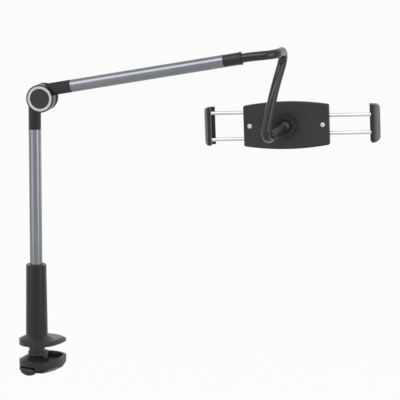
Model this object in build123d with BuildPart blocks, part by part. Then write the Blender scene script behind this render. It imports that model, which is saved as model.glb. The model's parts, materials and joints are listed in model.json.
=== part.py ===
from build123d import *
from math import cos, radians, sin, tan
import os

os.makedirs("parts", exist_ok=True)

# All lengths are in millimetres. The origin is on the pole axis at the desk top,
# X runs under the upper arm, Z is up and -Y is the side that faces the viewer.

# Fits and clearances
running_gap = 0.05
free_gap = 0.3

# Pole and sleeve
tube_radius = 9.5
tube_wall = 1.5
tube_bore = tube_radius - tube_wall
spigot_radius = tube_bore - running_gap
spigot_length = 22
sleeve_foot = 15.5
sleeve_top = 125
sleeve_foot_radius = 16.85
sleeve_top_radius = 15.5
sleeve_bore = 12
plug_top = 35
thrust_washer_thickness = 1.5
bush_radius = tube_radius + running_gap
lower_bush_heights = (39, 57)
upper_bush_heights = (105, 124)
tube_foot = plug_top + thrust_washer_thickness + running_gap
tube_foot_flange = 1.5
tube_top = 332.4

# Clamp
desk_heading = 67
jaw_face = 0.6
pad_thickness = 2
upper_jaw_top = 8.4
neck_radius = 17.4
shoulder_radius = 29
tip_edge = 4.2
post_radius = 12.3
post_foot = -43
post_bore = 8
post_head = 6
spigot_side = 14
spigot_height = 4
rack_pitch = 3.05
rack_depth = 1.3
rack_half_angle = 70
collar_radius = 13.7
collar_shift = 5
collar_top = -10.5
bolt_radius = 3
bolt_clearance_radius = 3.25
bolt_head_radius = 5
bolt_head_height = 5
bolt_top = 32

# Lever of the lower jaw
lever_half_width = 13.5
pin_radius = 1.5
pin_out = -17
pin_height = -36.2
shoe_back = -13.6
cam_radius = -pin_out + shoe_back - free_gap
grip_radius = 5.6
grip_out = -22.2
grip_height = -37.4
grip_foot_radius = 5.2
grip_foot_height = -40.2
release_angle = 30

# Elbow
elbow = Vector(12, 0, 380.5)
arm_offset = 10.4
arm_angle = 10.8
half_gap = 0.3
half_depth = 14
disc_radius = 21
ring_radius = 19
cap_radius = 14.9
hub_bolt_radius = 4
hex_flats = 13
lower_bush_wall = 1.5

# Upper arm
arm_tube_start = 49
arm_length = 315.4
end_sleeve_length = 27.7
arm_tube_end = arm_length - end_sleeve_length
end_sleeve_radius = 9.3
ferrule_wall = 0.95
ferrule_start = arm_length - 18.4
ferrule_end = arm_length + 0.6

# Gooseneck
hose_radius = 6.9
joint_cup_radius = hose_radius + free_gap
hose_root = ferrule_start + 1
hose_start = ferrule_end - 1
bend_radii = (78, 27, 18.5, 340, 12.6)
first_joint_share = 0.15
last_joint_run = 5
hose_in_stem = 8

# Holder
holder_from_arm = Vector(45.6, 100, -113.5)
stem_end_from_arm = Vector(33.8, 46.8, -123.9)
hose_first_run = 14
hose_corners = (
    Vector(48.8, 12, 5.6),
    Vector(51.6, 72, 6.3),
    Vector(37.6, 41.7, -60.1),
)
last_bend_run = 22.8
holder_yaw = 5.3
holder_pitch = 3.2
holder_roll = 2.45
plate_half_width = 64.9
plate_end_half_height = 30.5
plate_half_height = 35.9
plate_depth = 14
plate_wall = 3
cover_thickness = 1.5
rod_radius = 2.9
rod_depth = 8.8
left_rod_height = 20
right_rod_height = 13.5
spring_wire = 0.6
spring_radius = rod_radius + 0.4
collar_outer = spring_radius + spring_wire / 2
collar_length = 2
rod_rest_end = 2
guide_position = 34
guide_thickness = 3
spring_turns = 7
screw_position = 55.5
left_grip = 117.5
right_grip = 130.1
grip_half_height = 28.7
jaw_wall = 9
jaw_back_wall = 1.6
jaw_slope_depth = 19
jaw_bulge = 0.9
jaw_pad_thickness = 1
jaw_depth = 29
lip_thickness = 3.5
lip_reach = 6.5
rod_in_jaw = 2.5

# Ball joint of the holder
ball_rise = 8
ball_radius = 9
ball_neck_radius = 4.4
stem_radius = 8.1
stem_start = 11
liner_thickness = 2.2
lip_angle = 66
journal_radius = 14
flange_radius = 16.5
thread_radius = 13
nut_flats = 30
nut_rim_radius = 12.25


def heading(angle):
    return Vector(cos(radians(angle)), sin(radians(angle)), 0)


desk_dir = heading(desk_heading)
across_dir = heading(desk_heading - 90)


def level(height):
    """Plane parallel to the desk with its x toward the desk side of the clamp."""
    return Plane(origin=(0, 0, height), x_dir=desk_dir, z_dir=(0, 0, 1))


clamp_side = Plane(origin=(0, 0, 0), x_dir=desk_dir, z_dir=across_dir)


def half_plane(angle):
    """Upright plane through the pole axis with its x along a clamp angle."""
    out = heading(desk_heading + angle)
    return Plane(origin=(0, 0, 0), x_dir=out, z_dir=heading(desk_heading + angle - 90))


jaw_rear_radius = 29.5
jaw_rear_centre = 3.5
jaw_tip = 49.5
jaw_corner = 44.5
jaw_tip_half_width = 21.5
jaw_corner_fillet = 6


def jaw_outline(inset=0):
    """Plan shape shared by both jaws, or the same shape drawn smaller all round."""
    rear = jaw_rear_radius - inset
    corner = jaw_corner - inset
    side = jaw_tip_half_width - inset
    with BuildLine() as edge:
        TangentArc((jaw_rear_centre, rear), (corner, side), tangent=(1, 0))
        TangentArc((jaw_rear_centre, -rear), (corner, -side), tangent=(1, 0))
        ThreePointArc((corner, side), (jaw_tip - inset, 0), (corner, -side))
        ThreePointArc((jaw_rear_centre, rear), (jaw_rear_centre - rear, 0), (jaw_rear_centre, -rear))
    make_face(edge.edges())
    fillet(vertices().sort_by(Axis.X)[-2:], radius=jaw_corner_fillet - inset / 2)


pad_inset = 3.5
pad_start = 17


def pad_outline(gap):
    jaw_outline(pad_inset + gap)
    with Locations((pad_start + 20 + gap, 0)):
        Rectangle(40, 60, mode=Mode.INTERSECT)


# Upper jaw, the plate that rests on the desk
with BuildPart() as upper_jaw:
    with BuildSketch(level(jaw_face)):
        jaw_outline()
    extrude(amount=sleeve_foot - jaw_face)
    # top that falls from the sleeve to the rim and thins at the tip
    with BuildSketch(Plane.XZ):
        with BuildLine():
            Polyline(
                (0, jaw_face - 1), (jaw_tip + 5, jaw_face - 1), (jaw_tip + 5, tip_edge),
                (jaw_tip - 0.5, tip_edge), (jaw_tip - 2.5, upper_jaw_top - 1.6), (jaw_tip - 6, upper_jaw_top),
                (shoulder_radius, upper_jaw_top), (neck_radius, sleeve_foot - 0.8),
                (neck_radius - 0.8, sleeve_foot), (0, sleeve_foot), close=True,
            )
        make_face()
    revolve(axis=Axis.Z, mode=Mode.INTERSECT)
    with BuildSketch(level(jaw_face)):
        pad_outline(0)
    extrude(amount=pad_thickness - jaw_face, mode=Mode.SUBTRACT)
    with BuildSketch(level(jaw_face)):
        Rectangle(spigot_side + 2 * running_gap, spigot_side + 2 * running_gap)
    extrude(amount=spigot_height + running_gap, mode=Mode.SUBTRACT)
    with BuildSketch(level(jaw_face)):
        Circle(bolt_clearance_radius)
    extrude(amount=sleeve_foot, mode=Mode.SUBTRACT)
upper_jaw.part.label = "upper_jaw"
export_step(upper_jaw.part, "parts/upper_jaw.step")

with BuildPart() as desk_pad:
    with BuildSketch(level(0)):
        pad_outline(running_gap)
    extrude(amount=pad_thickness)
    fillet(desk_pad.faces().sort_by(Axis.Z)[0].edges(), radius=0.4)
desk_pad.part.label = "desk_pad"
export_step(desk_pad.part, "parts/desk_pad.step")

# Sleeve that the pole turns in
with BuildPart() as base_sleeve:
    with BuildSketch(Plane.XZ):
        with BuildLine():
            Polyline(
                (sleeve_bore, sleeve_foot),
                (sleeve_foot_radius, sleeve_foot),
                (sleeve_top_radius, sleeve_top),
                (sleeve_bore, sleeve_top),
                close=True,
            )
        make_face()
    revolve(axis=Axis.Z)
    fillet(base_sleeve.faces().sort_by(Axis.Z)[-1].edges().sort_by(SortBy.RADIUS)[-1], radius=1.2)
base_sleeve.part.label = "base_sleeve"
export_step(base_sleeve.part, "parts/base_sleeve.step")

with BuildPart() as sleeve_bushes:
    for bottom, top in (lower_bush_heights, upper_bush_heights):
        with BuildSketch(Plane.XY.offset(bottom)):
            Circle(sleeve_bore)
            Circle(bush_radius, mode=Mode.SUBTRACT)
        extrude(amount=top - bottom)
sleeve_bushes.part.label = "sleeve_bushes"
export_step(sleeve_bushes.part, "parts/sleeve_bushes.step")

with BuildPart() as sleeve_plug:
    with BuildSketch(Plane.XY.offset(sleeve_foot)):
        Circle(sleeve_bore)
        Circle(bolt_radius, mode=Mode.SUBTRACT)
    extrude(amount=plug_top - sleeve_foot)
sleeve_plug.part.label = "sleeve_plug"
export_step(sleeve_plug.part, "parts/sleeve_plug.step")

with BuildPart() as thrust_washer:
    with BuildSketch(Plane.XY.offset(plug_top)):
        Circle(sleeve_bore - running_gap)
        Circle(bolt_clearance_radius, mode=Mode.SUBTRACT)
    extrude(amount=thrust_washer_thickness)
thrust_washer.part.label = "thrust_washer"
export_step(thrust_washer.part, "parts/thrust_washer.step")

# Post under the upper jaw, with rack teeth on the desk side
rack_count = 11
rack_middle = (post_foot + collar_top) / 2 + 4
with BuildPart() as clamp_post:
    with BuildSketch(level(post_foot)):
        Circle(post_radius)
    extrude(amount=jaw_face - post_foot)
    chamfer(clamp_post.faces().sort_by(Axis.Z)[0].edges(), length=0.8)
    with BuildSketch(level(jaw_face)):
        Rectangle(spigot_side, spigot_side)
    extrude(amount=spigot_height)
    with BuildSketch(level(post_foot)):
        Circle(post_bore)
    extrude(amount=jaw_face - post_foot - post_head, mode=Mode.SUBTRACT)
    with BuildSketch(level(post_foot)):
        Circle(bolt_clearance_radius)
    extrude(amount=jaw_face - post_foot + spigot_height, mode=Mode.SUBTRACT)
    with BuildSketch(half_plane(-rack_half_angle)):
        with Locations((post_radius, rack_middle)):
            with GridLocations(0, rack_pitch, 1, rack_count):
                Polygon((-rack_depth, 0), (0.2, 1.3), (0.2, -1.3), align=None)
    revolve(axis=Axis.Z, revolution_arc=2 * rack_half_angle, mode=Mode.SUBTRACT)
clamp_post.part.label = "clamp_post"
export_step(clamp_post.part, "parts/clamp_post.step")

with BuildPart() as base_bolt:
    head_seat = jaw_face - post_head
    with BuildSketch(level(head_seat - bolt_head_height)):
        Circle(bolt_head_radius)
        RegularPolygon(bolt_radius * 5 / 6, 6, major_radius=False, mode=Mode.SUBTRACT)
    extrude(amount=bolt_head_height)
    with BuildSketch(level(head_seat - 2)):
        Circle(bolt_head_radius)
    extrude(amount=2)
    with BuildSketch(level(head_seat)):
        Circle(bolt_radius)
    extrude(amount=bolt_top - head_seat)
base_bolt.part.label = "base_bolt"
export_step(base_bolt.part, "parts/base_bolt.step")

# Lower jaw: a hull round the post with an open tray on the desk side
hull_floor = -40.8
hull_floor_half_width = 21
tip_floor = -30.6
tray_wall = 3.2
tray_start = -4
notch_half_width = lever_half_width + free_gap
insert_back = 16
insert_half_angle = 30
insert_low = -38
insert_high = -15

with BuildPart() as tray_space:
    with BuildSketch(level(hull_floor)):
        jaw_outline(tray_wall)
        with Locations((tray_start + 30, 0)):
            Rectangle(60, 70, mode=Mode.INTERSECT)
    extrude(amount=40)
    with BuildSketch(clamp_side):
        Polygon(
            (-10, hull_floor + 2.8), (15, hull_floor + 2.8), (44, tip_floor + 2.8),
            (60, tip_floor + 8.6), (60, 0), (-10, 0), align=None,
        )
    extrude(amount=40, both=True, mode=Mode.INTERSECT)
    fillet(tray_space.edges().filter_by(Axis.Z), radius=2.5)

with BuildPart() as lower_jaw:
    with BuildSketch(level(hull_floor)):
        jaw_outline()
    extrude(amount=30)
    with BuildSketch(clamp_side):
        Polygon(
            (-30, -38.2), (-5, hull_floor), (15, hull_floor), (44, tip_floor), (60, tip_floor + 5.6),
            (60, -18.5), (tray_start, -24.2), (tray_start, -9), (-30, -9), align=None,
        )
    extrude(amount=40, both=True, mode=Mode.INTERSECT)
    # sides cut back under the hull
    with BuildSketch(half_plane(-90)):
        Polygon(
            (-40, -5), (-40, -28), (-jaw_rear_radius, -34), (-hull_floor_half_width, hull_floor - 1),
            (hull_floor_half_width, hull_floor - 1), (jaw_rear_radius, -34), (40, -28), (40, -5), align=None,
        )
    extrude(amount=80, both=True, mode=Mode.INTERSECT)
    # shoulder that slopes down from the collar at the rear
    with BuildSketch(half_plane(85)):
        Polygon((collar_radius - 1, -14.4), (29.5, -24.2), (40, -30.7), (40, -5), (10, -5), align=None)
    revolve(axis=Axis.Z, revolution_arc=190, mode=Mode.SUBTRACT)
    add(tray_space.part, mode=Mode.SUBTRACT)
    # collar, longer toward the desk to hold the tooth insert
    with BuildSketch(level(hull_floor)):
        with Locations((0, 0), (collar_shift, 0)):
            Circle(collar_radius)
        make_hull()
    extrude(amount=collar_top - hull_floor)
    with BuildSketch(level(hull_floor - 5)):
        Circle(post_radius + running_gap)
    extrude(amount=50, mode=Mode.SUBTRACT)
    # seat of the tooth insert
    with BuildSketch(half_plane(-insert_half_angle)):
        with Locations(((insert_back + 11) / 2, (insert_low + insert_high) / 2)):
            Rectangle(insert_back - 11, insert_high - insert_low)
    revolve(axis=Axis.Z, revolution_arc=2 * insert_half_angle, mode=Mode.SUBTRACT)
    # room for the lever
    with BuildSketch(clamp_side):
        Polygon((-13.5, -50), (-13.5, -31), (-40, -31), (-40, -50), align=None)
    extrude(amount=notch_half_width, both=True, mode=Mode.SUBTRACT)
    # window of the shoe
    with BuildSketch(level(-40.3)):
        with Locations((-11, 0)):
            Rectangle(6, 15.1)
    extrude(amount=7.4, mode=Mode.SUBTRACT)
    with BuildSketch(clamp_side):
        with Locations((pin_out, pin_height)):
            Circle(pin_radius)
    extrude(amount=40, both=True, mode=Mode.SUBTRACT)
lower_jaw.part.label = "lower_jaw"
export_step(lower_jaw.part, "parts/lower_jaw.step")

with BuildPart() as tooth_insert:
    with BuildSketch(half_plane(-insert_half_angle)):
        with Locations(((insert_back + 13.6) / 2, (insert_low + insert_high) / 2)):
            Rectangle(insert_back - 13.6, insert_high - insert_low)
        with Locations((13.7, (insert_low + insert_high) / 2)):
            with GridLocations(0, rack_pitch, 1, 7):
                Polygon((post_radius + 0.1 - 13.7, 0), (0, 1.3), (0, -1.3), align=None)
    revolve(axis=Axis.Z, revolution_arc=2 * insert_half_angle)
tooth_insert.part.label = "tooth_insert"
export_step(tooth_insert.part, "parts/tooth_insert.step")

with BuildPart() as cam_shoe:
    with BuildSketch(level(-40.2)):
        with Locations(((shoe_back - 8.4) / 2, 0)):
            Rectangle(-shoe_back - 8.4, 15)
        Circle(post_radius + running_gap, mode=Mode.SUBTRACT)
    extrude(amount=7.2)
cam_shoe.part.label = "cam_shoe"
export_step(cam_shoe.part, "parts/cam_shoe.step")

with BuildPart() as lever_pin:
    with BuildSketch(clamp_side):
        with Locations((pin_out, pin_height)):
            Circle(pin_radius)
    extrude(amount=16.9, both=True)
lever_pin.part.label = "lever_pin"
export_step(lever_pin.part, "parts/lever_pin.step")

with BuildPart() as clamp_lever:
    with BuildSketch(clamp_side):
        with Locations((pin_out, pin_height)):
            Circle(cam_radius)
        with Locations((grip_out, grip_height)):
            Circle(grip_radius)
        with Locations((grip_out, grip_foot_height)):
            Circle(grip_foot_radius)
        make_hull()
    extrude(amount=lever_half_width, both=True)
    fillet(clamp_lever.edges().filter_by(GeomType.LINE).sort_by(Axis.Z)[-2:], radius=0.8)
    # flat that lets go of the shoe once the lever is down
    with BuildSketch(clamp_side):
        with Locations(Location((pin_out, pin_height), -release_angle)):
            with Locations((cam_radius + 1.9, 0)):
                Rectangle(5, 8)
    extrude(amount=lever_half_width, both=True, mode=Mode.SUBTRACT)
    with BuildSketch(clamp_side):
        with Locations((pin_out, pin_height)):
            Circle(pin_radius + running_gap)
    extrude(amount=lever_half_width, both=True, mode=Mode.SUBTRACT)
clamp_lever.part.label = "clamp_lever"
export_step(clamp_lever.part, "parts/clamp_lever.step")

# Pole
with BuildPart() as lower_tube_plug:
    with BuildSketch(Plane.XY.offset(tube_foot)):
        Circle(tube_radius)
    extrude(amount=tube_foot_flange)
    with BuildSketch(Plane.XY.offset(tube_foot + tube_foot_flange)):
        Circle(spigot_radius)
    extrude(amount=8)
lower_tube_plug.part.label = "lower_tube_plug"
export_step(lower_tube_plug.part, "parts/lower_tube_plug.step")

with BuildPart() as lower_tube:
    with BuildSketch(Plane.XY.offset(tube_foot + tube_foot_flange)):
        Circle(tube_radius)
        Circle(tube_bore, mode=Mode.SUBTRACT)
    extrude(amount=tube_top - tube_foot - tube_foot_flange)
lower_tube.part.label = "lower_tube"
export_step(lower_tube.part, "parts/lower_tube.step")

# Elbow: two half-thickness knuckles side by side on one bolt
arm_along = Vector(cos(radians(arm_angle)), 0, sin(radians(arm_angle)))
arm_up = Vector(-sin(radians(arm_angle)), 0, cos(radians(arm_angle)))


def arm_point(along):
    return elbow + arm_along * along + arm_up * arm_offset


def arm_plane(along):
    return Plane(origin=arm_point(along), x_dir=(0, 1, 0), z_dir=arm_along)


def elbow_face(side, distance):
    """Plane across the elbow axis; side is -1 toward the viewer and 1 away."""
    centre = elbow + Vector(0, side * distance, 0)
    return Plane(origin=centre, x_dir=(1, 0, 0), z_dir=(0, side, 0))


ring_recess = 1
cap_recess = 2.4
cap_thickness = 2
ring_thickness = 1.5
pocket_floor = 4.3
pocket_radius = 9
knuckle_gap = 0.6
tube_start_in_disc = 3


def elbow_disc(side):
    """Half-thickness disc with the seats of its trim ring and cap."""
    with BuildSketch(elbow_face(side, half_gap)) as disc:
        Circle(disc_radius)
    extrude(disc.sketch, amount=half_depth - half_gap)


def elbow_seats(side):
    with BuildSketch(elbow_face(side, half_depth - ring_recess)) as ring_seat:
        Circle(ring_radius)
    extrude(ring_seat.sketch, amount=ring_recess, mode=Mode.SUBTRACT)
    with BuildSketch(elbow_face(side, half_depth - cap_recess)) as cap_seat:
        Circle(cap_radius + running_gap)
    extrude(cap_seat.sketch, amount=cap_recess, mode=Mode.SUBTRACT)


def clear_other_half(side):
    """Hollow in the tube socket that the other disc turns in."""
    with BuildSketch(elbow_face(side, half_gap)) as hollow:
        Circle(disc_radius + knuckle_gap)
    extrude(hollow.sketch, amount=-half_depth - 1, mode=Mode.SUBTRACT)


with BuildPart() as lower_elbow_socket:
    with BuildSketch(Plane.XY.offset(tube_top)):
        Circle(tube_radius)
    extrude(amount=elbow.Z - tube_start_in_disc - tube_top)
    clear_other_half(-1)
    elbow_disc(-1)
    elbow_seats(-1)
    with BuildSketch(elbow_face(-1, pocket_floor)):
        Circle(pocket_radius)
    extrude(amount=half_depth - pocket_floor, mode=Mode.SUBTRACT)
    with BuildSketch(elbow_face(-1, 0)):
        Circle(hub_bolt_radius + lower_bush_wall)
    extrude(amount=half_depth, mode=Mode.SUBTRACT)
    with BuildSketch(Plane.XY.offset(tube_top - spigot_length)):
        Circle(spigot_radius)
    extrude(amount=spigot_length)
lower_elbow_socket.part.label = "lower_elbow_socket"
export_step(lower_elbow_socket.part, "parts/lower_elbow_socket.step")

with BuildPart() as elbow_bush:
    with BuildSketch(elbow_face(-1, half_gap)):
        Circle(hub_bolt_radius + lower_bush_wall)
        Circle(hub_bolt_radius + running_gap, mode=Mode.SUBTRACT)
    extrude(amount=pocket_floor - half_gap)
elbow_bush.part.label = "elbow_bush"
export_step(elbow_bush.part, "parts/elbow_bush.step")

with BuildPart() as friction_washer:
    with BuildSketch(elbow_face(-1, half_gap)):
        Circle(15)
        Circle(hub_bolt_radius + free_gap, mode=Mode.SUBTRACT)
    extrude(amount=-2 * half_gap + running_gap)
friction_washer.part.label = "friction_washer"
export_step(friction_washer.part, "parts/friction_washer.step")

with BuildPart() as front_trim_ring:
    with BuildSketch(elbow_face(-1, half_depth - ring_recess)):
        Circle(ring_radius)
        Circle(cap_radius + 0.2, mode=Mode.SUBTRACT)
    extrude(amount=ring_thickness)
    fillet(front_trim_ring.faces().sort_by(Axis.Y)[0].edges(), radius=0.4)
front_trim_ring.part.label = "front_trim_ring"
export_step(front_trim_ring.part, "parts/front_trim_ring.step")

with BuildPart() as front_cap:
    with BuildSketch(elbow_face(-1, half_depth - cap_recess)):
        Circle(cap_radius)
    extrude(amount=cap_thickness)
    fillet(front_cap.faces().sort_by(Axis.Y)[0].edges(), radius=0.5)
front_cap.part.label = "front_cap"
export_step(front_cap.part, "parts/front_cap.step")

with BuildPart() as upper_elbow_socket:
    with BuildSketch(arm_plane(tube_start_in_disc)):
        Circle(tube_radius)
    extrude(amount=arm_tube_start - tube_start_in_disc)
    clear_other_half(1)
    elbow_disc(1)
    elbow_seats(1)
    with BuildSketch(elbow_face(1, pocket_floor)):
        RegularPolygon(hex_flats / 2 + running_gap, 6, major_radius=False)
    extrude(amount=half_depth - pocket_floor, mode=Mode.SUBTRACT)
    with BuildSketch(elbow_face(1, 0)):
        Circle(hub_bolt_radius)
    extrude(amount=half_depth, mode=Mode.SUBTRACT)
    with BuildSketch(arm_plane(arm_tube_start)):
        Circle(spigot_radius)
    extrude(amount=spigot_length)
upper_elbow_socket.part.label = "upper_elbow_socket"
export_step(upper_elbow_socket.part, "parts/upper_elbow_socket.step")

with BuildPart() as back_trim_ring:
    with BuildSketch(elbow_face(1, half_depth - ring_recess)):
        Circle(ring_radius)
        Circle(cap_radius + 0.2, mode=Mode.SUBTRACT)
    extrude(amount=ring_thickness)
    fillet(back_trim_ring.faces().sort_by(Axis.Y)[-1].edges(), radius=0.4)
back_trim_ring.part.label = "back_trim_ring"
export_step(back_trim_ring.part, "parts/back_trim_ring.step")

with BuildPart() as back_cap:
    with BuildSketch(elbow_face(1, half_depth - cap_recess)):
        Circle(cap_radius)
    extrude(amount=cap_thickness)
    fillet(back_cap.faces().sort_by(Axis.Y)[-1].edges(), radius=0.5)
back_cap.part.label = "back_cap"
export_step(back_cap.part, "parts/back_cap.step")

# Bolt head sits in the hexagon of the back half, the nut in the front pocket
spring_cone = 0.9
spring_disc_radius = 8
hub_bolt_end = 11.2
hub_head_height = 5.3
hub_nut_height = 4.6
nut_seat = pocket_floor + 2 * spring_cone + 2 * running_gap

with BuildPart() as elbow_bolt:
    with BuildSketch(elbow_face(1, pocket_floor)):
        RegularPolygon(hex_flats / 2, 6, major_radius=False)
    extrude(amount=hub_head_height)
    with BuildSketch(elbow_face(-1, -pocket_floor)):
        Circle(hub_bolt_radius)
    extrude(amount=pocket_floor + hub_bolt_end)
elbow_bolt.part.label = "elbow_bolt"
export_step(elbow_bolt.part, "parts/elbow_bolt.step")

with BuildPart() as elbow_nut:
    with BuildSketch(elbow_face(-1, nut_seat)):
        RegularPolygon(hex_flats / 2, 6, major_radius=False)
        Circle(hub_bolt_radius, mode=Mode.SUBTRACT)
    extrude(amount=hub_nut_height)
elbow_nut.part.label = "elbow_nut"
export_step(elbow_nut.part, "parts/elbow_nut.step")

with BuildPart() as disc_springs:
    for step in range(2):
        with BuildSketch(elbow_face(-1, pocket_floor + running_gap + step * spring_cone)):
            Circle(spring_disc_radius)
            Circle(hub_bolt_radius + 0.15, mode=Mode.SUBTRACT)
        extrude(amount=spring_cone - running_gap)
disc_springs.part.label = "disc_springs"
export_step(disc_springs.part, "parts/disc_springs.step")

# Upper arm
with BuildPart() as upper_tube:
    with BuildSketch(arm_plane(arm_tube_start)):
        Circle(tube_radius)
        Circle(tube_bore, mode=Mode.SUBTRACT)
    extrude(amount=arm_tube_end - arm_tube_start)
upper_tube.part.label = "upper_tube"
export_step(upper_tube.part, "parts/upper_tube.step")

ferrule_radius = hose_radius + ferrule_wall
lip_length = 2
lip_rise = 0.7
with BuildPart() as arm_end_sleeve:
    with BuildSketch(arm_plane(arm_tube_end)):
        Circle(end_sleeve_radius)
    extrude(amount=end_sleeve_length)
    with BuildSketch(arm_plane(arm_length - lip_length)):
        Circle(end_sleeve_radius + lip_rise)
    extrude(amount=lip_length)
    fillet(arm_end_sleeve.edges().filter_by(GeomType.CIRCLE).group_by(SortBy.RADIUS)[-1], radius=lip_rise / 2)
    with BuildSketch(arm_plane(arm_tube_end - spigot_length)):
        Circle(spigot_radius)
    extrude(amount=spigot_length)
    with BuildSketch(arm_plane(ferrule_start)):
        Circle(ferrule_radius)
    extrude(amount=arm_length, mode=Mode.SUBTRACT)
arm_end_sleeve.part.label = "arm_end_sleeve"
export_step(arm_end_sleeve.part, "parts/arm_end_sleeve.step")

with BuildPart() as hose_ferrule:
    with BuildSketch(arm_plane(ferrule_start)):
        Circle(ferrule_radius)
        Circle(hose_radius + running_gap, mode=Mode.SUBTRACT)
    extrude(amount=ferrule_end - ferrule_start)
hose_ferrule.part.label = "hose_ferrule"
export_step(hose_ferrule.part, "parts/hose_ferrule.step")

arm_end = arm_point(arm_length)

# Holder frame: x to the viewer's right, y up and z out of the rear of the plate
holder = Plane(
    Location(arm_end + holder_from_arm)
    * Location((0, 0, 0), (0, 0, holder_yaw))
    * Location((0, 0, 0), (-holder_pitch, 0, 0))
    * Location((0, 0, 0), (0, -holder_roll, 0))
    * Plane.XZ.location
)


rear_axis = Axis(holder.origin, holder.z_dir)
right_axis = Axis(holder.origin, holder.x_dir)


def holder_point(x, y, z):
    return holder.origin + holder.x_dir * x + holder.y_dir * y + holder.z_dir * z


def holder_level(z):
    return Plane(origin=holder_point(0, 0, z), x_dir=holder.x_dir, z_dir=holder.z_dir)


def holder_side(x):
    """Plane across the rods, with plate heights along its x and depths along its y."""
    return Plane(origin=holder_point(x, 0, 0), x_dir=holder.y_dir, z_dir=holder.x_dir)


ball_centre = holder_point(0, 0, ball_rise)
stem_end = arm_end + stem_end_from_arm
stem_dir = (stem_end - ball_centre).normalized()
stem_length = (stem_end - ball_centre).length

# Gooseneck: corners of its route, each rounded to a bend
route = (
    arm_point(hose_start),
    arm_point(hose_start + hose_first_run),
    *(arm_end + corner for corner in hose_corners),
    stem_end + stem_dir * last_bend_run,
    stem_end,
)


def bend_frame(corner):
    """Start, centre, axis and angle of the bend at a corner of the route."""
    into = (route[corner] - route[corner - 1]).normalized()
    away = (route[corner + 1] - route[corner]).normalized()
    turn = into.get_angle(away)
    radius = bend_radii[corner - 1]
    start = route[corner] - into * radius * tan(radians(turn / 2))
    axis = into.cross(away).normalized()
    centre = start + axis.cross(into) * radius
    return start, centre, axis, turn


def bend_point(corner, share):
    """Point on a bend, from share 0 at its start to share 1 at its end."""
    start, centre, axis, turn = bend_frame(corner)
    return centre + (start - centre).rotate(Axis(centre, axis), turn * share)


def middle(first, second):
    return (first + second) * 0.5


hose_joints = (
    bend_point(1, first_joint_share),
    middle(bend_point(1, 1), bend_point(2, 0)),
    middle(bend_point(2, 1), bend_point(3, 0)),
    middle(bend_point(3, 1), bend_point(4, 0)),
    bend_point(4, 0.5),
    bend_point(5, 0) - (route[5] - route[4]).normalized() * last_joint_run,
)


def hose_sweep(start, corner, first, last, end):
    """Hose from start to end round part of one bend."""
    with BuildLine() as path:
        if first == 0:
            Line(start, bend_point(corner, 0))
        ThreePointArc(
            bend_point(corner, first),
            bend_point(corner, (first + last) / 2),
            bend_point(corner, last),
        )
        if last == 1:
            Line(bend_point(corner, 1), end)
    run = path.wire()
    with BuildSketch(Plane(origin=run @ 0, z_dir=run % 0)) as profile:
        Circle(hose_radius)
    sweep(profile.sketch, path=run)


def joint_plane(joint):
    """Plane across the hose at a joint, with z along the run."""
    if joint == 0:
        start, centre, axis, turn = bend_frame(1)
        along = axis.cross(hose_joints[0] - centre)
    elif joint == 4:
        start, centre, axis, turn = bend_frame(4)
        along = axis.cross(hose_joints[4] - centre)
    elif joint == 5:
        along = route[5] - route[4]
    else:
        along = bend_point(joint + 1, 0) - bend_point(joint, 1)
    return Plane(origin=hose_joints[joint], z_dir=along.normalized())


def hose_cup(joint):
    """Hollow that the round end of the piece before turns in."""
    with Locations(joint_plane(joint)):
        Sphere(joint_cup_radius, mode=Mode.SUBTRACT)


def hose_ball(joint):
    with Locations(joint_plane(joint)):
        Sphere(hose_radius, arc_size1=0, align=(Align.CENTER, Align.CENTER, Align.MIN))


with BuildPart() as hose_1:
    hose_sweep(arm_point(hose_root), 1, 0, first_joint_share, hose_joints[0])
    hose_ball(0)
hose_1.part.label = "hose_1"
export_step(hose_1.part, "parts/hose_1.step")

with BuildPart() as hose_2:
    hose_sweep(hose_joints[0], 1, first_joint_share, 1, hose_joints[1])
    hose_cup(0)
    hose_ball(1)
hose_2.part.label = "hose_2"
export_step(hose_2.part, "parts/hose_2.step")

with BuildPart() as hose_3:
    hose_sweep(hose_joints[1], 2, 0, 1, hose_joints[2])
    hose_cup(1)
    hose_ball(2)
hose_3.part.label = "hose_3"
export_step(hose_3.part, "parts/hose_3.step")

with BuildPart() as hose_4:
    hose_sweep(hose_joints[2], 3, 0, 1, hose_joints[3])
    hose_cup(2)
    hose_ball(3)
hose_4.part.label = "hose_4"
export_step(hose_4.part, "parts/hose_4.step")

with BuildPart() as hose_5:
    hose_sweep(hose_joints[3], 4, 0, 0.5, hose_joints[4])
    hose_cup(3)
    hose_ball(4)
hose_5.part.label = "hose_5"
export_step(hose_5.part, "parts/hose_5.step")

with BuildPart() as hose_6:
    hose_sweep(hose_joints[4], 4, 0.5, 1, hose_joints[5])
    hose_cup(4)
    hose_ball(5)
hose_6.part.label = "hose_6"
export_step(hose_6.part, "parts/hose_6.step")

with BuildPart() as hose_7:
    hose_sweep(hose_joints[5], 5, 0, 1, stem_end - stem_dir * hose_in_stem)
    hose_cup(5)
hose_7.part.label = "hose_7"
export_step(hose_7.part, "parts/hose_7.step")


# Ball joint
def stem_plane(distance):
    return Plane(origin=ball_centre + stem_dir * distance, z_dir=stem_dir)


with BuildPart() as ball_stud:
    with BuildSketch(stem_plane(stem_start)):
        Circle(stem_radius)
    extrude(amount=stem_length - stem_start)
    chamfer(ball_stud.edges(), length=0.7)
    with BuildSketch(stem_plane(stem_length)):
        Circle(hose_radius)
    extrude(amount=-hose_in_stem, mode=Mode.SUBTRACT)
    with BuildSketch(stem_plane(0)):
        Circle(ball_neck_radius)
    extrude(amount=stem_start + 1)
    with Locations(ball_centre):
        Sphere(ball_radius)
ball_stud.part.label = "ball_stud"
export_step(ball_stud.part, "parts/ball_stud.step")

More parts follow.
